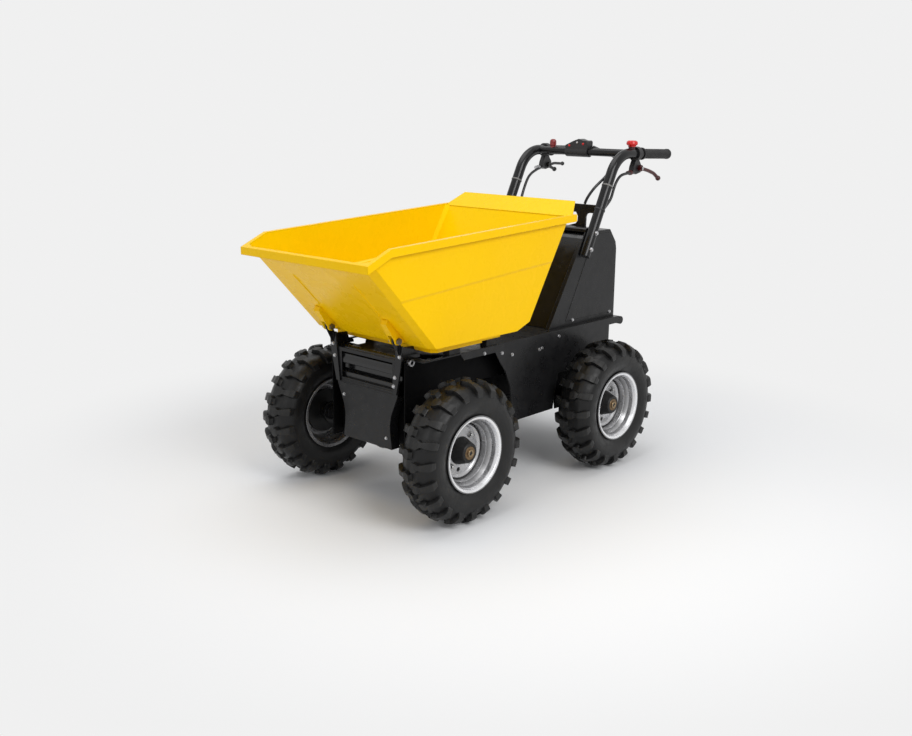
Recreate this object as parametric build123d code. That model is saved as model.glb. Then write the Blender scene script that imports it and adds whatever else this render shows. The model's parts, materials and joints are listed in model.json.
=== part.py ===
from build123d import *
import math
import os

# Walk-behind four-wheel mini dumper with a tipping skip. Millimetres, +Z up.
# The skip end faces -Y and the operator stands at +Y, so +X is the left-hand side.
# The origin is on the floor, under the middle of the whole outline.

# Wheels and axles
tyre_radius = 200.0
tyre_width = 120.0
wheel_plane_x = 288.0
front_axle_y = -412.0
rear_axle_y = 253.0
axle_beam_radius = 22.0
stub_radius = 12.5
running_gap = 0.06

# Deck and chassis
sheet = 4.0
deck_top = 436.0
deck_half = 190.0
deck_front_y = -457.0
deck_rear_y = 458.0
rail_height = 22.0
chassis_half = 150.0
chassis_bottom = 168.0
tray_bottom = 187.0
tray_front_y = -84.0
tray_rear_y = 122.0

# Skip
skip_wall = 3.0
skip_floor_z = 480.0
skip_floor_half = 244.5
pivot_y = -509.0
pivot_z = 495.0
pin_radius = 6.0

# Rear housing and handles
housing_half = 168.0
housing_sheet = 3.0
housing_top = 722.0
handle_radius = 16.5
handle_x = housing_half + handle_radius
handle_foot = (262.0, 650.0)
handle_bar_z = 959.0
handle_bar_fall = 0.032
handle_angle = 63.4
grip_start_y = 546.0
grip_end_y = 711.0

PARTS = {}


# ---------------------------------------------------------------- helpers

def prism_x(points, x0, x1):
    """Closed outline of (y, z) corners, carried from x0 to x1."""
    face = Plane((x0, 0, 0), x_dir=(0, 1, 0), z_dir=(1, 0, 0)) * make_face(Polyline(*points, close=True))
    return extrude(face, amount=x1 - x0)


def prism_y(points, y0, y1):
    """Closed outline of (x, z) corners, carried from y0 to y1."""
    face = Plane((0, y0, 0), x_dir=(1, 0, 0), z_dir=(0, -1, 0)) * make_face(Polyline(*points, close=True))
    return extrude(face, amount=y1 - y0, dir=(0, 1, 0))


def prism_z(points, z0, z1):
    """Closed outline of (x, y) corners, carried from z0 to z1."""
    face = Plane((0, 0, z0)) * make_face(Polyline(*points, close=True))
    return extrude(face, amount=z1 - z0)


def rod(start, end, radius):
    """Round bar from one point to another."""
    start = Vector(*start)
    way = Vector(*end) - start
    return extrude(Plane(start, z_dir=way) * Circle(radius), amount=way.length)


def ring_x(sections, centre):
    """Closed (x, radius) outline turned about the line along X through centre (y, z)."""
    face = make_face(Polyline(*sections, close=True))
    return Pos(0, centre[0], centre[1]) * revolve(face, Axis.X, 360)


def folded(points, thickness, x0, x1):
    """Sheet folded along (y, z) points and carried from x0 to x1; it lies left of the path."""
    path = Polyline(*points)
    strip = make_face(offset(path, thickness, side=Side.LEFT))
    face = Plane((x0, 0, 0), x_dir=(0, 1, 0), z_dir=(1, 0, 0)) * strip
    return extrude(face, amount=x1 - x0)


def pipe(points, corner_radii, radius):
    """Round tube along straight runs joined by tangent arcs."""
    path = FilletPolyline(*points, radius=corner_radii)
    return sweep(Plane(path @ 0, z_dir=path % 0) * Circle(radius), path=path)


def mirrored(shape):
    """Mirror image across the middle plane."""
    return mirror(shape, about=Plane.YZ)


# ---------------------------------------------------------------- wheels

# Tyre carcass, as (offset from the wheel plane, radius)
bead_toe = (32.0, 95.8)
bead_heel = (41.0, 97.2)
bead_face = (47.2, 101.5)
flange_seat = (49.4, 108.8)
sidewall = (tyre_width / 2, 146.0)
shoulder = (54.0, 180.0)
shoulder_round = (47.0, 194.0)
crown_edge = (34.0, tyre_radius)
inner_bead = (38.0, 108.0)
inner_wall = (52.0, 142.0)
inner_shoulder = (44.0, 172.0)
inner_round = (37.0, 181.5)
inner_crown = (26.0, 184.0)


def other_side(point):
    return (-point[0], point[1])


def make_tyre():
    outline = [Line(crown_edge, other_side(crown_edge)), Line(inner_crown, other_side(inner_crown))]
    for turned in (lambda point: point, other_side):
        toe, heel, face, seat = [turned(p) for p in (bead_toe, bead_heel, bead_face, flange_seat)]
        wall, edge, edge_round, crown = [turned(p) for p in (sidewall, shoulder, shoulder_round, crown_edge)]
        low, mid, high = [turned(p) for p in (inner_bead, inner_wall, inner_shoulder)]
        high_round, top = [turned(p) for p in (inner_round, inner_crown)]
        outline += [Line(toe, heel), Line(heel, face), Line(face, seat)]
        outline += [ThreePointArc(seat, wall, edge), ThreePointArc(edge, edge_round, crown)]
        outline += [Line(toe, low), ThreePointArc(low, mid, high), ThreePointArc(high, high_round, top)]
    return revolve(make_face(outline), Axis.X, 360)


# Steel rim: centre line of the pressed sheet from lip to well, as (offset, radius)
rim_sheet = 3.2
rim_line = [(52.8, 105.9), (50.6, 98.6), (43.2, 94.2), (30.6, 92.4), (17.6, 83.2), (8.0, 80.6)]
# Disc welded in the well, as (offset, radius) of its outer face from the hub to the rolled edge
disc_line = [(-2.0, 31.0), (-2.0, 66.0), (1.0, 70.0), (3.0, 73.5), (2.0, 76.5), (-2.0, 79.4)]
disc_thickness = 4.0
disc_front = disc_line[0][0]
disc_back = disc_front - disc_thickness
stud_circle = 52.5
stud_radius = 5.0
stud_turns = [45.0 + 90.0 * count for count in range(4)]
stud_reach = 8.0
valve_hole_radius = 6.5
valve_hole_turn = -98.7
# Hub: pilot through the disc, then a cone out to the face
pilot_radius = disc_line[0][1]
hub_root_radius = 39.0
hub_face = 33.5
hub_face_radius = 25.5
hub_edge = 2.0
hub_recess_radius = 19.0
hub_recess_floor = 31.5
hub_bore_end = 29.0
axle_nut_height = 6.0


def on_stud_circle(turn):
    return stud_circle * math.cos(math.radians(turn)), stud_circle * math.sin(math.radians(turn))


def make_rim():
    line = rim_line + [other_side(point) for point in reversed(rim_line)]
    barrel = revolve(make_face(offset(Polyline(*line), rim_sheet / 2, side=Side.BOTH)), Axis.X, 360)
    rear_line = [(u - disc_thickness, r) for u, r in reversed(disc_line)]
    disc = revolve(make_face(Polyline(*disc_line, *rear_line, close=True)), Axis.X, 360)
    rim = barrel + disc
    for turn in stud_turns:
        y, z = on_stud_circle(turn)
        rim -= rod((disc_back - 5, y, z), (disc_front + 5, y, z), stud_radius)
    y, z = on_stud_circle(valve_hole_turn)
    return rim - rod((disc_back - 5, y, z), (disc_front + 5, y, z), valve_hole_radius)


def make_hub():
    bore = stub_radius + running_gap
    flange_back = disc_back - 8.0
    outline = [(-26.0, bore), (-26.0, 24.0), (flange_back, 24.0), (flange_back, 66.0), (disc_back, 66.0),
               (disc_back, pilot_radius), (disc_front, pilot_radius), (disc_front, hub_root_radius),
               (hub_face - hub_edge, hub_face_radius + hub_edge), (hub_face, hub_face_radius),
               (hub_face, hub_recess_radius), (hub_recess_floor, hub_recess_radius),
               (hub_recess_floor, 0.0), (hub_bore_end, 0.0), (hub_bore_end, bore)]
    hub = revolve(make_face(Polyline(*outline, close=True)), Axis.X, 360)
    for turn in stud_turns:
        y, z = on_stud_circle(turn)
        hub += rod((disc_back - 2, y, z), (disc_front + stud_reach, y, z), stud_radius)
    nut = Plane((hub_recess_floor - 1.0, 0, 0), z_dir=(1, 0, 0)) * RegularPolygon(10.0, 6)
    return hub + extrude(nut, amount=axle_nut_height)


wheel_pieces = {"tyre": make_tyre(), "rim": make_rim(), "hub": make_hub()}
axle_rows = (("front", front_axle_y), ("rear", rear_axle_y))
for end, axle_y in axle_rows:
    for piece, shape in wheel_pieces.items():
        placed = Pos(wheel_plane_x, axle_y, tyre_radius) * shape
        PARTS[f"{piece}_{end}_left"] = placed
        PARTS[f"{piece}_{end}_right"] = mirrored(placed)

# ---------------------------------------------------------------- axles and drive

# Half axle beam, as (x, radius): differential bulge, beam, end flange, stub
beam_half = [(0.0, 0.0), (0.0, 58.0), (22.0, 55.0), (42.0, 40.0), (56.0, axle_beam_radius),
             (236.0, axle_beam_radius), (236.0, 34.0), (244.0, 34.0), (244.0, 17.0),
             (260.0, 17.0), (260.0, stub_radius), (315.0, stub_radius), (315.0, 0.0)]
for end, axle_y in axle_rows:
    half = ring_x(beam_half, (axle_y, tyre_radius))
    PARTS[f"{end}_axle"] = half + mirrored(half)

# Drive motors, each bolted to its differential and pointing to the middle of the machine
motor_radius = 46.0
motor_length = 150.0
motors = []
for axle_y, way in ((front_axle_y, 1), (rear_axle_y, -1)):
    start = axle_y + way * 62.0
    neck = rod((0, start, tyre_radius), (0, start + way * 22, tyre_radius), 30.0)
    can_start = start + way * 22
    can_length = motor_length if way > 0 else 42.0
    can = rod((0, can_start, tyre_radius), (0, can_start + way * can_length, tyre_radius), motor_radius)
    motors.append(neck + can)
PARTS["drive_motors"] = Compound(children=motors)

# ---------------------------------------------------------------- chassis

def both_sides(make):
    """One solid on the left and its mirror image on the right, as one node."""
    left = make()
    return Compound(children=[left, mirrored(left)])


rail_low = deck_top - rail_height

# Deck plate between the side rails
PARTS["deck_plate"] = prism_z(
    [(-deck_half + sheet, deck_front_y), (deck_half - sheet, deck_front_y),
     (deck_half - sheet, deck_rear_y), (-deck_half + sheet, deck_rear_y)],
    deck_top - sheet, deck_top)
deck_window = [(98.0, -432.0), (170.0, -432.0), (182.0, -420.0), (182.0, -358.0), (146.0, -358.0),
               (98.0, -405.0)]
for side in (-1, 1):
    PARTS["deck_plate"] -= prism_z([(side * x, y) for x, y in deck_window], deck_top - 10, deck_top + 5)

# Side rail with the deep skirt between the wheels and the shallow one over the rear wheel
skirt_outline = [
    (deck_front_y, deck_top), (deck_front_y, deck_top - sheet), (-310.0, deck_top - sheet),
    (-296.0, rail_low), (-162.0, rail_low), (-143.0, 385.0),
    (-114.0, 350.0), (-92.0, 302.0), (tray_front_y, 248.0), (tray_front_y, 222.0), (tray_rear_y, 222.0),
    (138.0, 300.0), (388.0, 300.0), (404.0, 330.0), (404.0, rail_low), (deck_rear_y, rail_low),
    (deck_rear_y, deck_top)]
skirt_foot = [(deck_half, 222.0), (deck_half - 5.0, tray_bottom), (deck_half - 9.0, tray_bottom),
              (deck_half - sheet, 222.0)]


def make_skirt():
    side = prism_x(skirt_outline, deck_half - sheet, deck_half)
    return side + prism_y(skirt_foot, tray_front_y, tray_rear_y)


PARTS["side_skirt_left"] = make_skirt()
PARTS["side_skirt_right"] = mirrored(PARTS["side_skirt_left"])

# Inner rails under the deck, with a plate below each end that hangs an axle
cross_tube = (-470.0, 431.0)
cross_tube_radius = 10.0
cross_tube_bore = 5.5
cross_tube_half = 160.0
front_plate_y = -490.0
front_plate_sheet = 3.0
rail_start_y = front_plate_y + front_plate_sheet
hanger_top = 330.0
rail_outline = [(rail_start_y, deck_top - sheet), (rail_start_y, hanger_top), (350.0, hanger_top),
                (352.0, 372.0), (deck_rear_y - 6, 372.0), (deck_rear_y - 6, deck_top - sheet),
                (-346.0, deck_top - sheet), (-360.0, 418.0), (-424.0, 418.0), (-434.0, deck_top - sheet)]
hanger_outlines = {
    "front": [(rail_start_y, hanger_top), (rail_start_y, chassis_bottom), (-336.0, chassis_bottom),
              (-318.0, hanger_top)],
    "rear": [(160.0, hanger_top), (180.0, chassis_bottom), (326.0, chassis_bottom), (346.0, hanger_top)],
}


def through_plate(y, z, radius):
    """Cutter for a round hole in the left side plate."""
    return rod((chassis_half - 9, y, z), (chassis_half + 5, y, z), radius)


def make_rail():
    rail = prism_x(rail_outline, chassis_half - sheet, chassis_half)
    return rail - through_plate(*cross_tube, cross_tube_radius)


PARTS["chassis_rails"] = both_sides(make_rail)
for end, axle_y in axle_rows:
    plate = prism_x(hanger_outlines[end], chassis_half - sheet, chassis_half)
    plate -= through_plate(axle_y, tyre_radius, axle_beam_radius)
    PARTS[f"{end}_hangers"] = Compound(children=[plate, mirrored(plate)])

# Bulkhead behind the front plate, cut out over the differential
bulkhead_y = -452.0
bulkhead_sheet = 3.0
bulkhead_low = 180.0
bulkhead_cut = (76.0, 272.0)
bay_half = chassis_half - sheet
half_bulkhead = [(bay_half, deck_top - sheet), (bay_half, bulkhead_low), (bulkhead_cut[0], bulkhead_low),
                 bulkhead_cut]
bulkhead = half_bulkhead + [(-x, z) for x, z in reversed(half_bulkhead)]
PARTS["front_bulkhead"] = prism_y(bulkhead, bulkhead_y, bulkhead_y + bulkhead_sheet)

# Round tie-down tube across the front corner, open at both ends
outer = rod((-cross_tube_half, *cross_tube), (cross_tube_half, *cross_tube), cross_tube_radius)
bore = rod((-cross_tube_half - 5, *cross_tube), (cross_tube_half + 5, *cross_tube), cross_tube_bore)
PARTS["front_cross_tube"] = outer - bore

# Front plate: tapered below, with a wide window and its slanted edges folded back
window_half = 104.0
window_low = 350.0
window_high = 425.0
plate_edge = [(139.0, deck_top), (122.0, 330.0), (97.0, 272.0), (92.5, 245.0), (93.5, 222.0), (100.0, 176.0)]
fold_depth = 27.0
fold_sheet = 3.0
plate_face = plate_edge + [(-x, z) for x, z in reversed(plate_edge)]
front_plate = prism_y(plate_face, front_plate_y, rail_start_y)
front_plate -= prism_y([(-window_half, window_low), (window_half, window_low), (window_half, window_high),
                        (-window_half, window_high)], front_plate_y - 5, rail_start_y + 5)
fold_strip = plate_edge[1:] + [(x - fold_sheet, z) for x, z in reversed(plate_edge[1:])]
fold_back = prism_y(fold_strip, rail_start_y, rail_start_y + fold_depth)
sill = prism_z([(-window_half, rail_start_y), (window_half, rail_start_y), (window_half, rail_start_y + 5.5),
                (-window_half, rail_start_y + 5.5)], window_low - 3, window_low)
PARTS["front_plate"] = front_plate + fold_back + mirrored(fold_back) + sill

# Panel behind the window: one sheet with two pressed shelves
panel_half = 117.0
panel_path = [(-478.0, 338.0), (-478.0, 362.0), (-462.0, 370.0), (-462.0, 386.0), (rail_start_y + 3, 394.0),
              (rail_start_y + 3, 402.0), (-480.0, 412.0), (-480.0, 418.0)]
PARTS["front_cross_panel"] = folded(panel_path, -3.0, -panel_half, panel_half)

# Hinge posts: a strip on each side of the front plate, and a plate with a round eye for the skip pin
post_sheet = 5.0
post_outer = 138.0
strip_low = 338.0
strip_high = 478.0
eye_radius = 11.0


def make_post():
    front = front_plate_y - post_sheet
    strip = prism_y([(123.0, strip_low), (139.0, 407.0), (145.5, 448.0), (147.5, strip_high),
                     (122.0, strip_high), (120.5, 448.0), (116.0, 407.0), (108.0, strip_low)],
                    front, front_plate_y)
    inner = post_outer - post_sheet
    eye_plate = prism_x([(front_plate_y - 1, deck_top + 0.2), (-417.0, deck_top + 0.2), (-419.0, 445.0),
                         (-436.0, 451.5), (-442.0, 470.0), (-486.0, 473.0), (pivot_y + 10.5, pivot_z - 3),
                         (pivot_y - 10.5, pivot_z - 3), (-503.0, 462.0)], inner, post_outer)
    eye_plate += rod((inner, pivot_y, pivot_z), (post_outer, pivot_y, pivot_z), eye_radius)
    post = strip + eye_plate - rod((inner - 5, *cross_tube), (post_outer + 5, *cross_tube), cross_tube_radius)
    return post - rod((inner - 5, pivot_y, pivot_z), (post_outer + 5, pivot_y, pivot_z), pin_radius)


PARTS["front_posts"] = both_sides(make_post)

# Pins through lugs and posts, with a head and a nut outside the lugs
lug_sheet = 4.0
lug_gap = 5.0
lug_inner = 124.0
lug_outer = post_outer + lug_gap


def make_pin():
    shank = rod((lug_inner - 1, pivot_y, pivot_z), (lug_outer + lug_sheet + 1, pivot_y, pivot_z), pin_radius)
    head_plane = Plane((lug_outer + lug_sheet + 1, pivot_y, pivot_z), z_dir=(1, 0, 0))
    nut_plane = Plane((lug_inner - 6, pivot_y, pivot_z), z_dir=(1, 0, 0))
    hexagon = RegularPolygon(9.5, 6)
    return shank + extrude(head_plane * hexagon, amount=5) + extrude(nut_plane * hexagon, amount=5)


PARTS["hinge_pins"] = both_sides(make_pin)

# Tray between the skirts, and the battery in it
tray_wall = 3.0
tray_half = deck_half - 11.0
tray_top = 326.0
PARTS["battery_tray"] = folded(
    [(tray_front_y + 4, tray_top), (tray_front_y + 4, tray_bottom), (tray_rear_y - 4, tray_bottom),
     (tray_rear_y - 4, tray_top)], tray_wall, -tray_half, tray_half)
PARTS["battery_block"] = prism_z(
    [(-138.0, -70.0), (138.0, -70.0), (138.0, 108.0), (-138.0, 108.0)], tray_bottom + tray_wall, 318.0)

# Closing plate under the deck's rear end, and the round bar behind it
valance_y = 404.0
PARTS["rear_valance"] = prism_y(
    [(-chassis_half + sheet, 345.0), (chassis_half - sheet, 345.0), (chassis_half - sheet, deck_top - sheet),
     (-chassis_half + sheet, deck_top - sheet)], valance_y - 4, valance_y)
bar_radius = 13.0
bar_z = 420.0
bar_y = deck_rear_y + bar_radius
bar = rod((-deck_half, bar_y, bar_z), (deck_half, bar_y, bar_z), bar_radius)
PARTS["rear_bumper_bar"] = fillet(bar.edges().filter_by(GeomType.CIRCLE), 2.0)

# Rubber rests that the skip's channels sit on
channel_x = 174.0
channel_half = 14.0
channel_sheet = 3.0
channel_bottom = 457.0
rest_gap = 0.3
rest_half = 12.0
rest_half_length = 22.0
rests = []
for x in (-channel_x, channel_x):
    for y in (-330.0, -175.0):
        rests.append(prism_z([(x - rest_half, y - rest_half_length), (x + rest_half, y - rest_half_length),
                              (x + rest_half, y + rest_half_length), (x - rest_half, y + rest_half_length)],
                             deck_top, channel_bottom - rest_gap))
PARTS["skip_rests"] = Compound(children=rests)

# ---------------------------------------------------------------- rear housing

side_outline = [(113.0, deck_top), (268.0, 694.0), (284.0, housing_top), (419.0, housing_top), (452.0, 679.0),
                (457.0, 656.0), (457.0, deck_top)]
lap_outline = [(196.0, deck_top + 16), (300.0, 650.0), (340.0, 712.0), (413.0, 712.0), (443.0, 674.0),
               (448.0, 654.0),
               (448.0, deck_top + 16)]
flange_width = 14.0


def make_housing_side():
    plate = prism_x(side_outline, housing_half - housing_sheet, housing_half)
    skin = prism_x(lap_outline, housing_half, housing_half + 1.5)
    flange = prism_x([(113.0, deck_top), (268.0, 694.0), (271.5, 694.0), (116.5, deck_top)],
                     housing_half - flange_width, housing_half - housing_sheet)
    return plate + skin + flange


PARTS["housing_side_left"] = make_housing_side()
PARTS["housing_side_right"] = mirrored(PARTS["housing_side_left"])

inner_half = housing_half - housing_sheet - 0.5
front_slope = (694.0 - deck_top) / (268.0 - 113.0)
front_foot_y = 124.0
front_top = (front_foot_y + (700.0 - deck_top) / front_slope, 700.0)
PARTS["housing_front"] = folded(
    [(front_foot_y, deck_top), front_top, (front_top[0] + 12.0, 712.0), (front_top[0] + 28.0, 717.0),
     (319.0, 717.0)], -3.0, -inner_half, inner_half)
PARTS["housing_rear"] = folded(
    [(421.0, housing_top - 6), (449.5, 678.0), (454.0, 655.0), (454.0, deck_top)], -3.0, -inner_half, inner_half)
lid = prism_x([(320.0, housing_top - 3), (419.0, housing_top - 3),
               (419.0, housing_top), (320.0, housing_top)],
              -inner_half, inner_half)
beam = prism_x([(287.0, housing_top), (286.0, 731.0), (290.0, 735.0), (314.0, 735.0), (320.0, 730.0),
                (326.0, housing_top)], -housing_half + 1.0, housing_half - 1.0)
PARTS["housing_top_cover"] = lid + beam

# ---------------------------------------------------------------- handles

slope = math.radians(handle_angle)
crossbar_y = 481.0
crossbar_radius = 12.7
grip_radius = 15.5
core_radius = 11.0
handle_bend_radius = 105.0


def bar_z(y):
    """Height of the handles' upper run, which falls a little towards the operator."""
    return handle_bar_z - handle_bar_fall * (y - crossbar_y)


bend_corner_y = handle_foot[0] + (bar_z(handle_foot[0] + 155) - handle_foot[1]) / math.tan(slope)
grip_tilt = math.degrees(math.atan(handle_bar_fall))


def make_handle():
    tube = pipe([(handle_x, *handle_foot), (handle_x, bend_corner_y, bar_z(bend_corner_y)),
                 (handle_x, grip_start_y - 2, bar_z(grip_start_y - 2))], handle_bend_radius, handle_radius)
    core = rod((handle_x, grip_start_y - 4, bar_z(grip_start_y - 4)),
               (handle_x, grip_end_y - 6, bar_z(grip_end_y - 6)), core_radius)
    return tube + core


def make_grip():
    outline = [(0.0, core_radius), (0.0, 20.0), (8.0, 20.0), (10.0, grip_radius), (152.0, grip_radius),
               (155.0, 17.0), (163.5, 16.5), (165.0, 15.0), (165.0, 0.0), (159.5, 0.0), (159.5, core_radius)]
    sleeve = revolve(make_face(Polyline(*outline, close=True)), Axis.X, 360)
    return Pos(handle_x, grip_start_y, bar_z(grip_start_y)) * (Rot(0, 0, 90) * (Rot(0, grip_tilt, 0) * sleeve))


PARTS["handle_left"] = make_handle()
PARTS["handle_right"] = mirrored(PARTS["handle_left"])
PARTS["grip_left"] = make_grip()
PARTS["grip_right"] = mirrored(PARTS["grip_left"])

crossbar = rod((-handle_x, crossbar_y, handle_bar_z), (handle_x, crossbar_y, handle_bar_z), crossbar_radius)
PARTS["handle_crossbar"] = crossbar - PARTS["handle_left"] - PARTS["handle_right"]

# Bridge plate between the handles, standing on the cover by two arched legs
bridge_low = 778.0
bridge_high = 804.0
bridge_sheet = 8.0
bridge_y = handle_foot[0] + (bridge_low + 13.0 - handle_foot[1]) / math.tan(slope)
half_outline = [(handle_x, bridge_high), (handle_x, bridge_low), (146.0, bridge_low), (137.0, 774.0),
                (133.0, 766.0), (132.0, housing_top), (60.0, housing_top), (68.0, 734.0), (96.0, 742.0),
                (103.0, 750.0), (104.0, 766.0), (96.0, bridge_low)]
bridge_outline = half_outline + [(-x, z) for x, z in reversed(half_outline)]
bridge = prism_y(bridge_outline, bridge_y - bridge_sheet / 2, bridge_y + bridge_sheet / 2)
PARTS["handle_bridge"] = bridge - PARTS["handle_left"] - PARTS["handle_right"]

# Lever perches clamped under the handles
perch_y = 519.0
lever_pivot = (534.0, 911.0)


def make_perch():
    z = bar_z(perch_y)
    clamp = rod((handle_x, perch_y - 9, z), (handle_x, perch_y + 9, z), handle_radius + 6)
    body = prism_x([(perch_y - 9, z - 19), (perch_y + 9, z - 19), (lever_pivot[0] + 9, 918.0),
                    (lever_pivot[0] + 6, 899.0), (perch_y - 6, 893.0), (perch_y - 24, 900.0),
                    (perch_y - 20, 918.0)], handle_x - 9, handle_x + 9)
    return clamp + body - PARTS["handle_left"]


def lever(x, points, bends, blade_radius, ball_radius, eye_radius):
    """Curved blade with a ball end, starting at an eye on the perch's outer face."""
    blade = pipe([(x, y, z) for y, z in points], bends, blade_radius)
    ball = Pos(x, *points[-1]) * Sphere(ball_radius)
    eye = rod((x - 5.8, *points[0]), (x + 3, *points[0]), eye_radius)
    return blade + ball + eye


PARTS["lever_perch_left"] = make_perch()
PARTS["lever_perch_right"] = mirrored(PARTS["lever_perch_left"])
lever_x = handle_x + 15.0
hand_brake = [(530.0, 912.0), (572.0, 903.0), (606.0, 893.0), (634.0, 876.0)]
PARTS["brake_lever_left"] = lever(lever_x, hand_brake, [60.0, 50.0], 5.8, 8.5, 10.0)

# On the right: a short thumb lever outside the perch and a second one inside it
thumb = [(526.0, 908.0), (552.0, 912.0), (598.0, 909.0)]
paddle = [(537.0, 903.0), (568.0, 898.0), (592.0, 889.0)]
PARTS["brake_lever_right"] = mirrored(lever(lever_x, paddle, [50.0], 5.2, 8.0, 9.0))
PARTS["thumb_lever_right"] = lever(-handle_x + 15.0, thumb, [40.0], 4.6, 7.0, 9.0)

# Console clamped round the crossbar
console_left = 30.0
console_right = -58.0
sleeve_radius = 17.5
console_outline = [(console_right, 966.0), (console_right, 979.0), (-26.0, 993.0), (-5.0, 1000.0), (12.0, 995.0),
                   (26.0, 995.0), (console_left, 991.0), (console_left, 966.0)]
console = prism_y(console_outline, crossbar_y - 16, crossbar_y + 16)
console += rod((console_right - 2, crossbar_y, handle_bar_z), (console_left, crossbar_y, handle_bar_z),
               sleeve_radius)
PARTS["control_console"] = console - rod((console_right - 9, crossbar_y, handle_bar_z),
                                         (console_left + 9, crossbar_y, handle_bar_z), crossbar_radius)


def push_button(x, y, base_z, outline):
    """(radius, height) outline turned about the upright axis through (x, y)."""
    knob = revolve(Plane.XZ * make_face(Polyline((0.0, -9.0), *outline, close=True)), Axis.Z, 360)
    return Pos(x, y, base_z) * knob


# Stop button on the left handle, domed button on the crossbar
mushroom = [(11.0, -9.0), (11.0, 3.0), (13.0, 9.0), (17.5, 12.0), (18.5, 16.0), (17.0, 22.0), (12.0, 25.0),
            (0.0, 25.5)]
dome = [(9.0, -9.0), (9.0, 2.0), (11.0, 4.0), (11.0, 17.0), (9.0, 22.0), (5.0, 24.5), (0.0, 25.0)]
stop_y = 496.0
dome_x = -122.0
stop_z = bar_z(stop_y) + handle_radius - 0.5
PARTS["stop_button"] = push_button(handle_x, stop_y, stop_z, mushroom) - PARTS["handle_left"]
horn_z = handle_bar_z + crossbar_radius
PARTS["horn_button"] = push_button(dome_x, crossbar_y, horn_z, dome) - PARTS["handle_crossbar"]

# Cables held along the handles: (x, y, z) points of each route
cable_radius = 4.5
cable_routes = {
    "brake_cable_left": [(190.0, 494.8, 899.0), (190.0, 466.0, 898.0), (190.0, 430.0, 893.0), (191.0, 405.0, 872.0),
                         (190.0, 393.0, 845.0), (188.0, 387.0, 823.0), (184.0, 375.0, 806.0), (174.0, 358.0, 782.0),
                         (160.0, 349.0, 757.0), (153.0, 346.5, 736.0), (152.0, 346.0, 723.2)],
    "brake_cable_right": [(-184.5, 494.8, 899.0), (-180.0, 455.0, 889.0), (-170.0, 417.0, 876.0),
                          (-163.0, 394.0, 858.0), (-161.0, 379.0, 834.0), (-160.0, 366.0, 806.0),
                          (-158.0, 356.0, 776.0), (-152.0, 348.0, 750.0), (-151.0, 347.0, 736.0),
                          (-151.0, 347.0, 722.1)],
    "console_cable": [(33.0, 497.0, 975.0), (70.0, 500.0, 962.0), (105.0, 499.0, 950.0), (134.0, 489.0, 940.5),
                      (153.0, 467.0, 934.0), (161.5, 437.0, 925.0), (163.0, 410.0, 908.0), (163.0, 387.0, 888.0),
                      (160.0, 363.0, 873.0), (154.0, 344.0, 857.0), (144.0, 333.0, 837.0), (133.0, 330.0, 818.0),
                      (128.0, 331.0, 806.2)],
}


def cable(points):
    """Straight runs joined by tangent arcs, each as large as its two runs allow."""
    ways = [Vector(*end) - Vector(*start) for start, end in zip(points, points[1:])]
    radii = []
    for before, after in zip(ways, ways[1:]):
        turn = math.radians(before.get_angle(after))
        radii.append(0.45 * min(before.length, after.length) / math.tan(turn / 2))
    return pipe(points, radii, cable_radius), radii


for name, points in cable_routes.items():
    PARTS[name], radii = cable(points)
    print(name, "arc radii", [round(radius) for radius in radii])

# ---------------------------------------------------------------- skip

# Side view of the tub's outside, as (y, z): lip, front foot, floor, rear foot, top of the rear wall
lip = (-704.0, 726.0)
front_foot = (-473.0, skip_floor_z)
rear_floor = (-130.0, skip_floor_z)
rear_foot_low = (-69.0, 503.0)
rear_foot_high = (-52.0, 531.0)
rear_top = (100.5, 790.0)
rim_bend = (-631.0, 759.0)
rim_rear = (108.0, 794.0)
above = 900.0
side_rise = 0.07
side_mid_y = -220.0
front_run = (front_foot[0] - lip[0]) / (lip[1] - front_foot[1])
rear_run = (rear_top[0] - rear_foot_high[0]) / (rear_top[1] - rear_foot_high[1])
# Half width of the side walls by height, with the pressed step halfway up; all shrink towards the lip
width_steps = [(skip_floor_half, 440.0), (247.5, 645.0), (250.5, 651.0), (253.0, above + 60)]
side_taper = 0.0086


def tub_side_view(inset):
    """Outline of the tub carried up past its rim; inset moves the walls inwards."""
    lean = math.hypot(1, front_run)
    back = math.hypot(1, rear_run)
    floor = skip_floor_z + inset
    front_low = front_foot[0] - front_run * inset + inset * lean
    front_high = front_foot[0] - front_run * (above - skip_floor_z) + inset * lean
    rear_high = rear_foot_high[0] + rear_run * (above - rear_foot_high[1]) - inset * back
    return [(front_high, above), (front_low, floor), (rear_floor[0] + 0.2 * inset, floor),
            (rear_foot_low[0] - 0.7 * inset, rear_foot_low[1] + 0.7 * inset),
            (rear_foot_high[0] - inset * back, rear_foot_high[1]), (rear_high, above)]


def side_walls(inset):
    """Space between the two side walls, rising gently to the rear and narrowing to the front."""
    sections = []
    for y in (-900.0, 400.0):
        widths = [(half - side_taper * (rim_rear[0] - y) - inset, z) for half, z in width_steps]
        outline = [(-half, z) for half, z in widths] + [(half, z) for half, z in reversed(widths)]
        plane = Plane((0, y, side_rise * (y - side_mid_y)), x_dir=(1, 0, 0), z_dir=(0, -1, 0))
        sections.append(plane * make_face(Polyline(*outline, close=True)))
    return loft(sections, ruled=True)


# Corner folds, as (point on the corner edge, normal of the end wall, width on the end wall, width on the side)
wall_way = Vector(0, lip[0] - front_foot[0], lip[1] - front_foot[1]).normalized()
wall_out = Vector(0, -wall_way.Z, wall_way.Y)
back_out = Vector(0, 1.0, -rear_run).normalized()
corner_folds = [(front_foot, wall_out, 27.0, 13.0), (rear_foot_high, back_out, 8.0, 8.0)]


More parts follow.
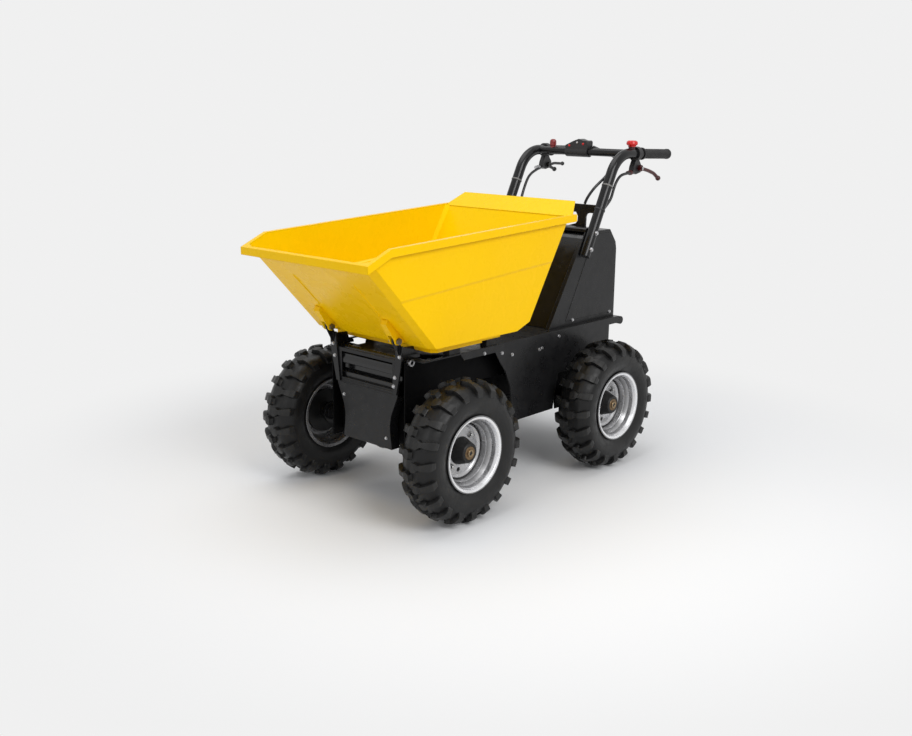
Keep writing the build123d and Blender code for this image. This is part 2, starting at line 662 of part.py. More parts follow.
def tub_space(inset):
    """Space inside the four walls, with the folds along its corners, moved inwards by inset."""
    space = prism_x(tub_side_view(inset), -300, 300) & side_walls(inset)
    for (y, z), end_out, end_width, side_width in corner_folds:
        for side in (-1, 1):
            side_out = Vector(side, 0, 0)
            out = (side_out * (1 / end_width) + end_out * (1 / side_width)).normalized()
            depth = 1 / math.hypot(1 / end_width, 1 / side_width) + inset
            corner = Vector(side * (skip_floor_half + 2.0), y, z)
            space -= extrude(Plane(corner - out * depth, z_dir=out) * Rectangle(1400, 1400), amount=90)
    return space


below_rim = prism_x([(-900.0, 400.0), (300.0, 400.0), (300.0, 803.0), rim_rear, rim_bend, lip,
                     (-900.0, 640.0)], -300, 300)
outside = tub_space(0.0)
inside = tub_space(skip_wall)
tub = (outside - inside) & below_rim

# Plate raised above the rear wall, leaning back, with its top corners cut
plate_top = (157.0, 830.0)
plate_run = Vector(0, plate_top[0] - rear_top[0], plate_top[1] - rear_top[1])
plate_plane = Plane((0, rear_top[0] - 3.5, rear_top[1] - 1.5), x_dir=(1, 0, 0),
                    z_dir=Vector(1, 0, 0).cross(plate_run))
plate_shape = make_face(Polyline((-252.0, 0.0), (252.0, 0.0), (250.0, 12.0), (222.0, plate_run.length),
                                 (-222.0, plate_run.length), (-250.0, 12.0), close=True))
tub += extrude(plate_plane * plate_shape, amount=skip_wall)

# Two pressed ribs on the front wall, one above each hinge
for x in (-122.0, 122.0):
    start = Vector(x, *front_foot) + wall_way * 126.0
    rib_plane = Plane(start - wall_out * 0.5, x_dir=(1, 0, 0), z_dir=wall_out)
    sign = 1 if (rib_plane.y_dir.dot(wall_way)) > 0 else -1
    rib = make_face(Polyline((-9.0, 0.0), (0.0, -14.0 * sign), (9.0, 0.0), (5.0, sign * 100.0), (0.0, sign * 126.0),
                             (-5.0, sign * 100.0), close=True))
    tub += extrude(rib_plane * rib, amount=3.0, taper=40)
PARTS["skip_tub"] = tub

# Folded rim round the front and sides: a cap over the wall with a hanging lip
rim_reach = 11.0
rim_sheet_thickness = 2.5
rim_drop = 21.0
rim_lift = 3.0


def rim_band(shrink):
    front = lip[0] - 9.0 + shrink
    rear = rim_rear[0] + 3.0
    high = [(front, lip[1] + rim_lift - shrink - 2.0), (rim_bend[0] - 2, rim_bend[1] + rim_lift - shrink),
            (rear, rim_rear[1] + rim_lift - shrink)]
    drop = rim_drop + (10 if shrink else 0) - shrink
    low = [(y, z - drop) for y, z in reversed(high)]
    low[-1] = (front, low[-1][1])
    return prism_x(high + low, -300, 300)


rim = rim_band(0.0) & side_walls(-rim_reach)
rim -= rim_band(rim_sheet_thickness) & side_walls(-rim_reach + rim_sheet_thickness) - inside
rim = rim - inside - outside
cap = (rim_band(0.0) & outside) - inside - below_rim
rim = rim + cap
rear_cut = prism_x([(60.0, 700.0), (200.0, 700.0), (200.0, 900.0), (60.0, 900.0)], -249, 249)
rim -= rear_cut
PARTS["skip_rim"] = rim - tub

# Hinge lugs: a pair of gussets each side, standing on the front wall
lug_boss = 11.0


def make_lug():
    foot_low = Vector(0, *front_foot) + wall_way * 12.0
    foot_high = Vector(0, *front_foot) + wall_way * 108.0
    brow = (foot_high.Y - 6, foot_high.Z - 14)
    gusset = [(foot_low.Y, foot_low.Z), (foot_high.Y, foot_high.Z), brow, (pivot_y - lug_boss, pivot_z),
              (pivot_y, pivot_z - 8.0)]
    ears = []
    for x0 in (lug_inner, lug_outer):
        ear = prism_x(gusset, x0, x0 + lug_sheet)
        ear += rod((x0, pivot_y, pivot_z), (x0 + lug_sheet, pivot_y, pivot_z), lug_boss)
        ears.append(ear)
    web = prism_x([brow, (pivot_y - 22.0, pivot_z + 16.0), (pivot_y - 18.0, pivot_z + 16.0),
                   (foot_high.Y - 2, foot_high.Z - 12), (foot_high.Y, foot_high.Z)], lug_inner, lug_outer + lug_sheet)
    lug = ears[0] + ears[1] + web - rod((lug_inner - 5, pivot_y, pivot_z), (lug_outer + 9, pivot_y, pivot_z),
                                        pin_radius + running_gap)
    return lug - outside


PARTS["skip_hinge_lugs"] = both_sides(make_lug)

# Channels under the floor, and a skirt sheet round their front and sides
frame_front_y = -430.0
frame_half = 203.0
frame_corner = 14.0
skirt_rear_y = -236.0
channel_rear_y = -140.0


def frame_band(inset):
    half, front = frame_half - inset, frame_front_y + inset
    return prism_z([(-half, skirt_rear_y), (-half, front + frame_corner), (-half + frame_corner, front),
                    (half - frame_corner, front), (half, front + frame_corner), (half, skirt_rear_y)],
                   channel_bottom, skip_floor_z)


def channel_section(half, low):
    return [(channel_x - half, low), (channel_x + half, low),
            (channel_x + half, skip_floor_z), (channel_x - half, skip_floor_z)]


channel_front_y = frame_front_y + channel_sheet
left_channel = prism_y(channel_section(channel_half, channel_bottom), channel_front_y, channel_rear_y)
left_channel -= prism_y(channel_section(channel_half - channel_sheet, channel_bottom + channel_sheet),
                        channel_front_y - 1, channel_rear_y + 1)
frame_skirt = frame_band(0.0) - frame_band(channel_sheet)
PARTS["skip_underframe"] = frame_skirt + left_channel + mirrored(left_channel)

# ---------------------------------------------------------------- files

os.makedirs("parts", exist_ok=True)
for node, shape in PARTS.items():
    export_step(shape, f"parts/{node}.step")
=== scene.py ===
import bpy
import math
import json
import numpy as np
from mathutils import Matrix, Vector


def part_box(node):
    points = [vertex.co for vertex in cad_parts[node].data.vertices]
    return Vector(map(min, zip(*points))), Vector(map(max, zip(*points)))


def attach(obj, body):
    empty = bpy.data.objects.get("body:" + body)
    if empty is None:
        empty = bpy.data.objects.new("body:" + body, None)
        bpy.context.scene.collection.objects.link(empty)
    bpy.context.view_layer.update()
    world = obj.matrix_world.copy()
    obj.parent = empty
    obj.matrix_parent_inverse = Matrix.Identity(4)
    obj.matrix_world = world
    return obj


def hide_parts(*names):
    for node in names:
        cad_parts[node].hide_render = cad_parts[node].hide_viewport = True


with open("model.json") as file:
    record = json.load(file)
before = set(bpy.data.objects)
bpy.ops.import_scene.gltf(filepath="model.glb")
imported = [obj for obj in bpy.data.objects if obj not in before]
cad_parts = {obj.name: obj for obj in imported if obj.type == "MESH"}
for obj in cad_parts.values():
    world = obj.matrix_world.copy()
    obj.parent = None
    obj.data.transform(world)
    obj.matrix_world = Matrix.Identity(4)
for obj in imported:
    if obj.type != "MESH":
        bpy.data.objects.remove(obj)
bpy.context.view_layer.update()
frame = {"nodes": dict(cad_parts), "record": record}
scene = bpy.context.scene
scene.view_settings.view_transform = "Standard"
print("frame loaded")

# ---- camera
cameraSpec = {"turn": 42.8297, "tilt": 13.9626, "roll": 0.4811, "lens": 41.90, "sensor": 36,
              "place": (2.1313, -2.4228, 1.1078)}


def addCamera(spec):
    # turn goes round Z from the skip's end, tilt goes up, and roll turns the view about its own axis
    turn, tilt, roll = (math.radians(spec[name]) for name in ("turn", "tilt", "roll"))
    back = Vector((math.sin(turn) * math.cos(tilt), -math.cos(turn) * math.cos(tilt), math.sin(tilt)))
    right = Vector((math.cos(turn), math.sin(turn), 0))
    up = back.cross(right)
    right, up = right * math.cos(roll) + up * math.sin(roll), up * math.cos(roll) - right * math.sin(roll)
    data = bpy.data.cameras.new("camera")
    data.lens = spec["lens"]
    data.sensor_width = spec["sensor"]
    camera = bpy.data.objects.new("camera", data)
    scene.collection.objects.link(camera)
    axes = Matrix((right, up, back)).transposed().to_4x4()
    camera.matrix_world = Matrix.Translation(spec["place"]) @ axes
    scene.camera = camera


addCamera(cameraSpec)


# ---- helpers for node trees and meshes
def newMaterial(name):
    material = bpy.data.materials.new(name)
    material.use_nodes = True
    material.node_tree.nodes.clear()
    return material, material.node_tree


def put(tree, kind, inputs=(), **settings):
    # one shader node; an input given as a socket is linked, anything else is its value
    made = tree.nodes.new("ShaderNode" + kind)
    for key, value in settings.items():
        setattr(made, key, value)
    for key, value in dict(inputs).items():
        if isinstance(value, bpy.types.NodeSocket):
            tree.links.new(value, made.inputs[key])
        else:
            made.inputs[key].default_value = value
    return made


def colour(values):
    return (*values, 1.0)


def noise(tree, scale, detail=4.0, roughness=0.5, stretch=(1, 1, 1), shift=(0, 0, 0)):
    # fractal noise on Object coordinates, scale in waves per metre
    place = put(tree, "TexCoord").outputs["Object"]
    mapped = put(tree, "Mapping", {"Vector": place, "Scale": stretch, "Location": shift}).outputs["Vector"]
    return put(tree, "TexNoise", {"Vector": mapped, "Scale": scale, "Detail": detail,
                                  "Roughness": roughness}).outputs["Fac"]


def spread(tree, value, low, high, toLow=0.0, toHigh=1.0):
    # a soft step between two levels
    return put(tree, "MapRange", {"Value": value, "From Min": low, "From Max": high, "To Min": toLow,
                                  "To Max": toHigh}, interpolation_type="SMOOTHSTEP").outputs["Result"]


def mixColours(tree, amount, first, second):
    mixed = tree.nodes.new("ShaderNodeMix")
    mixed.data_type = "RGBA"
    for socket, value in ((mixed.inputs[0], amount), (mixed.inputs[6], first), (mixed.inputs[7], second)):
        if isinstance(value, bpy.types.NodeSocket):
            tree.links.new(value, socket)
        else:
            socket.default_value = value if socket.type == "VALUE" else colour(value)
    return mixed.outputs[2]


def multiply(tree, first, second):
    return put(tree, "Math", {0: first, 1: second}, operation="MULTIPLY").outputs[0]


def easedEdges(tree, radius):
    # rounds the shading of sharp edges, as paint does over a folded sheet
    return put(tree, "Bevel", {"Radius": radius}, samples=6).outputs[0]


def bumps(tree, layers, normal=None):
    # stacked bump nodes from (height socket, strength, depth in metres)
    for height, strength, depth in layers:
        made = put(tree, "Bump", {"Height": height, "Strength": strength, "Distance": depth})
        if normal:
            tree.links.new(normal, made.inputs["Normal"])
        normal = made.outputs["Normal"]
    return normal


def finishSurface(tree, inputs):
    shader = put(tree, "BsdfPrincipled", inputs)
    tree.links.new(shader.outputs[0], put(tree, "OutputMaterial").inputs["Surface"])


def faceUp(tree, low, high):
    # 0 on walls, 1 on faces that look up, from the object's own normals
    normal = put(tree, "TexCoord").outputs["Normal"]
    return spread(tree, put(tree, "SeparateXYZ", {0: normal}).outputs["Z"], low, high)


# ---- materials of the painted and metal pieces
yellowSpec = {
    "base": (0.935, 0.562, 0.0010), "deep": (0.80, 0.41, 0.001), "dust": (0.86, 0.66, 0.20),
    # painted light: the tone for the tub's inner faces is a less orange yellow, which offsets the orange cast of the
    # tub's own bounce light
    "glint": (1.0, 0.76, 0.06, 1.0), "inside": (0.90, 0.605, 0.0012), "middle": (0.0, -0.30, 0.75),
    # the pressed step halfway up the sides, which rises to the rear; its tone is a painted highlight, a paler yellow
    # line where the step catches the light
    "crease": {"height": 0.648, "rise": 0.07, "from": -0.220, "half": 0.0045, "tone": (0.98, 0.80, 0.12)},
    "shares": {"crease": 0.75, "clouds": 0.10, "specks": 0.30, "scuffs": 0.07},
    "shine": (0.22, 0.38), "level": 0.28, "easedBy": 0.0022,
}
darkSpec = {
    "base": (0.0072, 0.0072, 0.0078), "wornBy": 2.4, "dust": (0.085, 0.082, 0.078), "easedBy": 0.0016,
    "shares": {"clouds": 0.35, "marks": 0.28, "settled": 0.18},
}


def insideOfTub(tree):
    # painted-light masks: 1 on faces that look towards the tub's middle, which take a less orange tone against the
    # tub's bounce light, and 1 along the pressed step halfway up its sides, which takes a painted highlight
    place = put(tree, "TexCoord").outputs
    away = put(tree, "VectorMath", {0: place["Object"], 1: yellowSpec["middle"]}, operation="SUBTRACT").outputs[0]
    facing = put(tree, "VectorMath", {0: place["Normal"], 1: away}, operation="DOT_PRODUCT").outputs["Value"]
    inner = spread(tree, facing, -0.02, -0.06)
    step = yellowSpec["crease"]
    parts = put(tree, "SeparateXYZ", {0: place["Object"]}).outputs
    ahead = put(tree, "Math", {0: parts["Y"], 1: step["from"]}, operation="SUBTRACT").outputs[0]
    rise = multiply(tree, ahead, step["rise"])
    height = put(tree, "Math", {0: parts["Z"], 1: rise}, operation="SUBTRACT").outputs[0]
    off = put(tree, "Math", {0: height, 1: step["height"]}, operation="SUBTRACT").outputs[0]
    crease = spread(tree, put(tree, "Math", {0: off}, operation="ABSOLUTE").outputs[0], step["half"], 0.0)
    return inner, crease


def yellowPaint():
    # gloss enamel: faint clouds, fine dust specks, long scuffs, orange peel over slow dents, eased edges; painted
    # light as well: a less orange tone on the tub's inner faces and a painted highlight along its pressed step
    material, tree = newMaterial("yellowPaint")
    shares = yellowSpec["shares"]
    cloud = spread(tree, noise(tree, 5.0, 3.0), 0.35, 0.75)
    inner, crease = insideOfTub(tree)
    # painted light: the tub's inner faces take the less orange tone against its yellow bounce light
    tone = mixColours(tree, inner, yellowSpec["base"], yellowSpec["inside"])
    # painted highlight: a paler yellow line along the pressed step on the tub's inner faces
    step = multiply(tree, multiply(tree, crease, inner), shares["crease"])
    tone = mixColours(tree, step, tone, yellowSpec["crease"]["tone"])
    tone = mixColours(tree, multiply(tree, cloud, shares["clouds"]), tone, yellowSpec["deep"])
    specks = spread(tree, noise(tree, 240.0, 3.0, 0.7), 0.72, 0.82)
    scuffs = spread(tree, noise(tree, 34.0, 6.0, 0.65, (1, 0.25, 1)), 0.65, 0.78)
    tone = mixColours(tree, multiply(tree, specks, shares["specks"]), tone, yellowSpec["dust"])
    tone = mixColours(tree, multiply(tree, scuffs, shares["scuffs"]), tone, yellowSpec["dust"])
    shine = spread(tree, noise(tree, 22.0, 5.0), 0.3, 0.8, *yellowSpec["shine"])
    peel = noise(tree, 300.0, 1.0)
    waves = noise(tree, 5.0, 0.5, 0.4)
    normal = bumps(tree, [(waves, 0.45, 0.012), (peel, 0.04, 0.0004)], easedEdges(tree, yellowSpec["easedBy"]))
    finishSurface(tree, {"Base Color": tone, "Roughness": shine, "Specular IOR Level": yellowSpec["level"],
                         "Specular Tint": yellowSpec["glint"], "Normal": normal})
    return material


def darkPaint(name, base, rough=(0.26, 0.42), dusty=0.5, grain=0.14, level=0.29):
    # satin black enamel, worn a little paler in clouds, with dust on the faces that look up
    material, tree = newMaterial(name)
    cloud = spread(tree, noise(tree, 9.0, 5.0), 0.35, 0.75)
    shares = darkSpec["shares"]
    worn = [darkSpec["wornBy"] * part for part in base]
    tone = mixColours(tree, multiply(tree, cloud, shares["clouds"]), base, worn)
    marks = spread(tree, noise(tree, 70.0, 6.0, 0.7, (1, 1, 0.3)), 0.66, 0.78)
    tone = mixColours(tree, multiply(tree, marks, shares["marks"] * dusty), tone, darkSpec["dust"])
    settled = multiply(tree, faceUp(tree, 0.5, 1.0), spread(tree, noise(tree, 26.0, 5.0), 0.3, 0.8, 0.3, 1.0))
    tone = mixColours(tree, multiply(tree, settled, shares["settled"] * dusty), tone, darkSpec["dust"])
    shine = spread(tree, noise(tree, 40.0, 5.0), 0.3, 0.75, *rough)
    powder = noise(tree, 900.0, 2.0)
    waves = noise(tree, 6.0, 2.0)
    eased = easedEdges(tree, darkSpec["easedBy"])
    normal = bumps(tree, [(waves, 0.22, 0.005), (powder, grain, 0.0003)], eased)
    finishSurface(tree, {"Base Color": tone, "Roughness": shine, "Specular IOR Level": level, "Normal": normal})
    return material


def bareMetal(name, base, rough=(0.25, 0.45), metallic=1.0, stain=(0.10, 0.07, 0.05), stained=0.25):
    # metal with stained patches and a fine grain
    material, tree = newMaterial(name)
    patches = spread(tree, noise(tree, 120.0, 6.0, 0.65), 0.50, 0.78)
    tone = mixColours(tree, multiply(tree, patches, stained), base, stain)
    shine = spread(tree, noise(tree, 60.0, 5.0), 0.3, 0.75, *rough)
    finishSurface(tree, {"Base Color": tone, "Roughness": shine, "Metallic": metallic,
                         "Normal": bumps(tree, [(noise(tree, 500.0, 3.0), 0.12, 0.0003)])})
    return material


rimSpec = {
    # painted light: tone of the pressed sheet by distance from the axle plus distance out from the wheel's plane,
    # which
    # grows all the way along its section: disc, root crease, well, cone, bead seat, hump, groove, lip; dark stops
    # are painted shade in creases and grooves, bright ones are painted reflections on the rounded steps
    "shadeAndGlintRings": [(0.0580, 0.40), (0.0745, 0.46), (0.0778, 0.10), (0.0810, 0.34), (0.0890, 0.50), (0.1005, 0.62),
              (0.1020, 0.14), (0.1140, 0.28), (0.1220, 0.18), (0.1240, 0.62), (0.1300, 0.84), (0.1365, 0.74),
              (0.1385, 0.10), (0.1400, 0.42), (0.1475, 0.78), (0.1496, 0.08), (0.1510, 0.66), (0.1530, 0.74),
              (0.1546, 0.14), (0.1560, 0.20), (0.1574, 0.86)],
    "from": 0.055, "to": 0.165, "axleMiddle": -0.0795, "axleReach": 0.3325, "axleHeight": 0.200,
    "plane": 0.288, "innerFace": (0.2810, 0.2835), "innerShade": 0.62, "innerShadeTone": (0.05, 0.05, 0.052),
    "stain": (0.16, 0.155, 0.15), "stained": 0.16, "metallic": 0.72,
}


def rimSilver(spec):
    # silver enamel over rolled sheet; the tone follows the section, with painted shade in each groove and painted
    # reflections on the steps between, so every groove reads
    material, tree = newMaterial("silverRim")
    parts = put(tree, "SeparateXYZ", {0: put(tree, "TexCoord").outputs["Object"]}).outputs
    middle = put(tree, "Math", {0: parts["Y"], 1: spec["axleMiddle"]}, operation="SUBTRACT").outputs[0]
    folded = put(tree, "Math", {0: middle}, operation="ABSOLUTE").outputs[0]
    across = put(tree, "Math", {0: folded, 1: spec["axleReach"]}, operation="SUBTRACT").outputs[0]
    height = put(tree, "Math", {0: parts["Z"], 1: spec["axleHeight"]}, operation="SUBTRACT").outputs[0]
    flat = put(tree, "CombineXYZ", {0: across, 1: height}).outputs[0]
    radius = put(tree, "VectorMath", {0: flat}, operation="LENGTH").outputs["Value"]
    inward = put(tree, "Math", {0: parts["X"]}, operation="ABSOLUTE").outputs[0]
    outward = put(tree, "Math", {0: inward, 1: spec["plane"]}, operation="SUBTRACT").outputs[0]
    along = put(tree, "Math", {0: radius, 1: outward}, operation="ADD").outputs[0]
    reach = spec["to"] - spec["from"]
    share = put(tree, "MapRange", {"Value": along, "From Min": spec["from"], "From Max": spec["to"]}).outputs[0]
    paintedRingLight = put(tree, "ValToRGB", {0: share})
    paintedRingLight.color_ramp.elements.remove(paintedRingLight.color_ramp.elements[1])
    for count, (ring, tone) in enumerate(spec["shadeAndGlintRings"]):
        stop = paintedRingLight.color_ramp.elements[0] if count == 0 else paintedRingLight.color_ramp.elements.new(0.5)
        stop.position = (ring - spec["from"]) / reach
        stop.color = colour((tone, tone, 1.02 * tone))
    # painted shade: the disc's inner face, in from the wheel's plane, is darkened towards the inner shade tone,
    # because the wheel's hollow back lies in shadow
    shaded = spread(tree, inward, *spec["innerFace"], spec["innerShade"], 0.0)
    tone = mixColours(tree, shaded, paintedRingLight.outputs["Color"], spec["innerShadeTone"])
    stain = spread(tree, noise(tree, 36.0, 3.0, 0.5), 0.50, 0.85)
    tone = mixColours(tree, multiply(tree, stain, spec["stained"]), tone, spec["stain"])
    shine = spread(tree, noise(tree, 60.0, 5.0), 0.3, 0.75, 0.24, 0.38)
    normal = bumps(tree, [(noise(tree, 14.0, 2.0), 0.18, 0.003), (noise(tree, 300.0, 1.0), 0.03, 0.0003)])
    finishSurface(tree, {"Base Color": tone, "Roughness": shine, "Metallic": spec["metallic"], "Normal": normal})
    return material


def rubber(name, base, dust, rough=(0.48, 0.72), dusty=0.5, grain=0.25, level=0.38):
    # matt black with a dusty film and pale specks
    material, tree = newMaterial(name)
    film = spread(tree, noise(tree, 18.0, 6.0, 0.6), 0.42, 0.78)
    tone = mixColours(tree, multiply(tree, film, dusty), base, dust)
    specks = spread(tree, noise(tree, 320.0, 3.0, 0.7), 0.74, 0.82)
    tone = mixColours(tree, multiply(tree, specks, 0.4), tone, [3.0 * part for part in dust])
    shine = spread(tree, noise(tree, 45.0, 5.0), 0.3, 0.75, *rough)
    finishSurface(tree, {"Base Color": tone, "Roughness": shine, "Specular IOR Level": level,
                         "Normal": bumps(tree, [(noise(tree, 160.0, 4.0), 0.14, 0.0012),
                                                (noise(tree, 1100.0, 2.0), grain, 0.0003)])})
    return material


# painted shade: deep is the tone down in the gaps and lug walls, and top is the tone on lug tops; scuff and specks
# are dust and wear
treadSpec = {"deep": (0.0038, 0.0038, 0.0040), "top": (0.0100, 0.0100, 0.0100), "scuff": (0.024, 0.0225, 0.0205),
             "specks": (0.05, 0.048, 0.044)}


def treadRubber(spec):
    # black rubber with painted shade: the mesh's shade-and-wear attribute is 0 down in the gaps and 1 on lug tops, a
    # little less on the sidewall; low values paint shade into the gaps and lug walls, and the lug tops take the
    # scuffed film
    material, tree = newMaterial("treadRubber")
    shadeAndWearLevel = put(tree, "Attribute", attribute_name="shadeAndWear").outputs["Fac"]
    tone = mixColours(tree, shadeAndWearLevel, spec["deep"], spec["top"])
    film = spread(tree, noise(tree, 24.0, 6.0, 0.6), 0.45, 0.78)
    tone = mixColours(tree, multiply(tree, multiply(tree, film, shadeAndWearLevel), 0.5), tone, spec["scuff"])
    specks = spread(tree, noise(tree, 260.0, 3.0, 0.7), 0.74, 0.82)
    tone = mixColours(tree, multiply(tree, specks, 0.5), tone, spec["specks"])
    shine = spread(tree, noise(tree, 45.0, 5.0), 0.3, 0.75, 0.30, 0.54)
    normal = bumps(tree, [(noise(tree, 130.0, 4.0), 0.22, 0.0014), (noise(tree, 900.0, 2.0), 0.22, 0.0003)])
    finishSurface(tree, {"Base Color": tone, "Roughness": shine, "Specular IOR Level": 0.30, "Normal": normal})
    return material


def mouldedPlastic(name, base, rough=(0.32, 0.48), grain=0.15, coat=0.0):
    # plastic with faint clouds and a moulded grain
    material, tree = newMaterial(name)
    cloud = spread(tree, noise(tree, 30.0, 4.0), 0.35, 0.75)
    tone = mixColours(tree, multiply(tree, cloud, 0.25), base, [0.6 * part for part in base])
    shine = spread(tree, noise(tree, 80.0, 4.0), 0.3, 0.75, *rough)
    finishSurface(tree, {"Base Color": tone, "Roughness": shine, "Coat Weight": coat, "Coat Roughness": 0.1,
                         "Normal": bumps(tree, [(noise(tree, 1300.0, 2.0), grain, 0.0003)])})
    return material


finishes = {
    "yellow_paint": yellowPaint(),
    "dark_paint": darkPaint("darkPaint", darkSpec["base"]),
    "zinc_steel": bareMetal("zincSteel", (0.50, 0.50, 0.51)),
    "motor_casting": darkPaint("motorCasting", (0.008, 0.008, 0.009), (0.4, 0.6)),
    "battery": mouldedPlastic("batteryCase", (0.012, 0.012, 0.013)),
    "rubber": rubber("restRubber", (0.008, 0.008, 0.008), (0.018, 0.018, 0.018)),
    "grip_rubber": rubber("gripRubber", (0.008, 0.008, 0.009), (0.014, 0.014, 0.014), (0.42, 0.56), 0.3, 0.2),
    "control_plastic": mouldedPlastic("controlPlastic", (0.008, 0.008, 0.009)),
    "lever_red": bareMetal("leverRed", (0.050, 0.0022, 0.0024), (0.20, 0.32), 0.15, (0.012, 0.003, 0.003), 0.5),
    "lever_black": mouldedPlastic("leverBlack", (0.010, 0.010, 0.011), (0.22, 0.34)),
    "button_red": mouldedPlastic("buttonRed", (0.58, 0.010, 0.009), (0.22, 0.32), 0.08, 0.3),
    "cable_jacket": mouldedPlastic("cableJacket", (0.009, 0.009, 0.010), (0.34, 0.46)),
    "tyre": treadRubber(treadSpec),
    "silver_rim": rimSilver(rimSpec),
    "hub_black": darkPaint("hubBlack", (0.008, 0.008, 0.008), (0.36, 0.52)),
}

# each node first takes the finish of its record's slot; some take their own below
for entry in frame["record"]["subparts"]:
    slots = frame["nodes"][entry["node"]].data.materials
    slots.clear()
    slots.append(finishes[entry["material_slot"]])

tubeBlack = darkPaint("tubeBlack", (0.0055, 0.0055, 0.0060), (0.12, 0.24), 0.3, 0.05, 0.30)
glossPanel = darkPaint("glossPanel", (0.0060, 0.0060, 0.0065), (0.16, 0.28), 0.1, 0.05, 0.42)
# painted shade: a darker, barely glossy copy of the black paint for the chassis pieces under the skip, which lie in
# its shade
underShadeBlack = darkPaint("underShadeBlack", (0.0028, 0.0028, 0.0030), (0.34, 0.5), 0.1, 0.14, 0.04)


def twoTone(name, axis, folded, level, width, lowTone, highTone, metallic, rough):
    # one colour below a level along an axis and another above it, with a short soft step between
    material, tree = newMaterial(name)
    value = put(tree, "SeparateXYZ", {0: put(tree, "TexCoord").outputs["Object"]}).outputs[axis]
    if folded:
        value = put(tree, "Math", {0: value}, operation="ABSOLUTE").outputs[0]
    above = spread(tree, value, level - width / 2, level + width / 2)
    tone = mixColours(tree, above, lowTone, highTone)
    grime = spread(tree, noise(tree, 110.0, 5.0, 0.6), 0.55, 0.80)
    tone = mixColours(tree, multiply(tree, grime, 0.35), tone, [0.3 * part for part in highTone])
    shine = spread(tree, noise(tree, 60.0, 4.0), 0.3, 0.75, *rough)
    finishSurface(tree, {"Base Color": tone, "Roughness": shine, "Metallic": multiply(tree, above, metallic),
                         "Normal": bumps(tree, [(noise(tree, 700.0, 2.0), 0.12, 0.0003)])})
    return material


nodeFinishes = {
    "front_cross_tube": twoTone("tieTubeSteel", "X", True, 0.1500, 0.0012, (0.004, 0.004, 0.004), (0.50, 0.50, 0.51),
                                1.0, (0.22, 0.36)),
    "stop_button": twoTone("mushroomRed", "Z", False, 0.9805, 0.0030, (0.030, 0.003, 0.003), (0.60, 0.010, 0.009),
                           0.0, (0.18, 0.28)),
    "handle_left": tubeBlack, "handle_right": tubeBlack, "handle_crossbar": tubeBlack,
    "front_posts": tubeBlack, "rear_bumper_bar": tubeBlack,
    "chassis_rails": underShadeBlack, "front_hangers": underShadeBlack, "rear_hangers": underShadeBlack,
    "front_bulkhead": underShadeBlack, "rear_valance": underShadeBlack,
    "hinge_pins": bareMetal("pinSteel", (0.16, 0.15, 0.13), (0.3, 0.45), 0.9, (0.05, 0.04, 0.03), 0.5),
    "housing_front": glossPanel, "front_cross_panel": glossPanel,
    "horn_button": mouldedPlastic("buttonCrimson", (0.20, 0.006, 0.008), (0.24, 0.36), 0.08, 0.3),
}
for node, material in nodeFinishes.items():
    frame["nodes"][node].data.materials[0] = material


# ---- building meshes
def addMesh(name, points, faces, body, slot, material=None, sharp=35):
    data = bpy.data.meshes.new(name)
    data.from_pydata(points, [], faces)
    data.update()
    data.shade_smooth()
    data.set_sharp_from_angle(angle=math.radians(sharp))
    piece = bpy.data.objects.new(name, data)
    scene.collection.objects.link(piece)
    data.materials.append(material or finishes[slot])
    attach(piece, body)
    return piece


def gridFaces(rows, columns, closeRows=True, closeColumns=True):
    # quads over a grid of rows x columns points, wrapped round where a way is closed
    i = np.arange(rows if closeRows else rows - 1)[:, None]
    j = np.arange(columns if closeColumns else columns - 1)[None, :]
    nextRow, nextColumn = (i + 1) % rows, (j + 1) % columns
    corners = [i * columns + j, nextRow * columns + j, nextRow * columns + nextColumn, i * columns + nextColumn]
    return np.stack([np.broadcast_to(c, (i.size, j.size)) for c in corners], -1).reshape(-1, 4)


def smoothStep(values):
    t = np.clip(values, 0, 1)
    return t * t * (3 - 2 * t)


def turned(profile, place, way, steps=24, ribs=0, ribDepth=0.0):
    # (radius, height, hexagon) rows turned about the axis; a hexagon row is pulled in to its flats as
    # cos 30 / cos(angle from the nearest corner pair), and ribs add a cosine round the turn
    way = np.array(way, float) / np.linalg.norm(way)
    side = np.cross(way, (0, 0, 1) if abs(way[2]) < 0.9 else (1, 0, 0))
    side /= np.linalg.norm(side)
    rows = np.array(profile, float)
    angle = np.linspace(0, 2 * math.pi, steps, endpoint=False)[None, :]
    flats = math.cos(math.pi / 6) / np.cos(np.mod(angle, math.pi / 3) - math.pi / 6)
    radius = rows[:, :1] * np.where(rows[:, 2:3] > 0, flats, 1 + ribDepth * np.cos(ribs * angle))
    spoke = np.cos(angle)[..., None] * side + np.sin(angle)[..., None] * np.cross(way, side)
    points = radius[..., None] * spoke + rows[:, 1, None, None] * way + np.array(place)
    faces = gridFaces(len(rows), steps, closeRows=False)[:, ::-1].tolist()
    last = (len(rows) - 1) * steps
    faces += [list(range(steps))[::-1], list(range(last, last + steps))]
    return points.reshape(-1, 3), faces


def carried(path, section, up):
    # a closed section of (sideways, upwards) corners carried along the path, square to its direction
    path, section, up = np.array(path, float), np.array(section, float), np.array(up, float)
    ahead = np.gradient(path, axis=0)
    ahead /= np.linalg.norm(ahead, axis=1)[:, None]
    sideways = np.cross(ahead, up)
    sideways /= np.linalg.norm(sideways, axis=1)[:, None]
    upwards = np.cross(sideways, ahead)
    points = path[:, None] + section[None, :, :1] * sideways[:, None] + section[None, :, 1:] * upwards[:, None]
    count = len(section)
    faces = gridFaces(len(path), count, closeRows=False).tolist()
    last = (len(path) - 1) * count
    faces += [list(range(count)), list(range(last, last + count))[::-1]]
    return points.reshape(-1, 3), faces


def joined(parts):
    # several (points, faces) as one
    points, faces, start = [], [], 0
    for partPoints, partFaces in parts:
        points.append(partPoints)
        faces += [[start + corner for corner in face] for face in partFaces]
        start += len(partPoints)
    return np.concatenate(points), faces


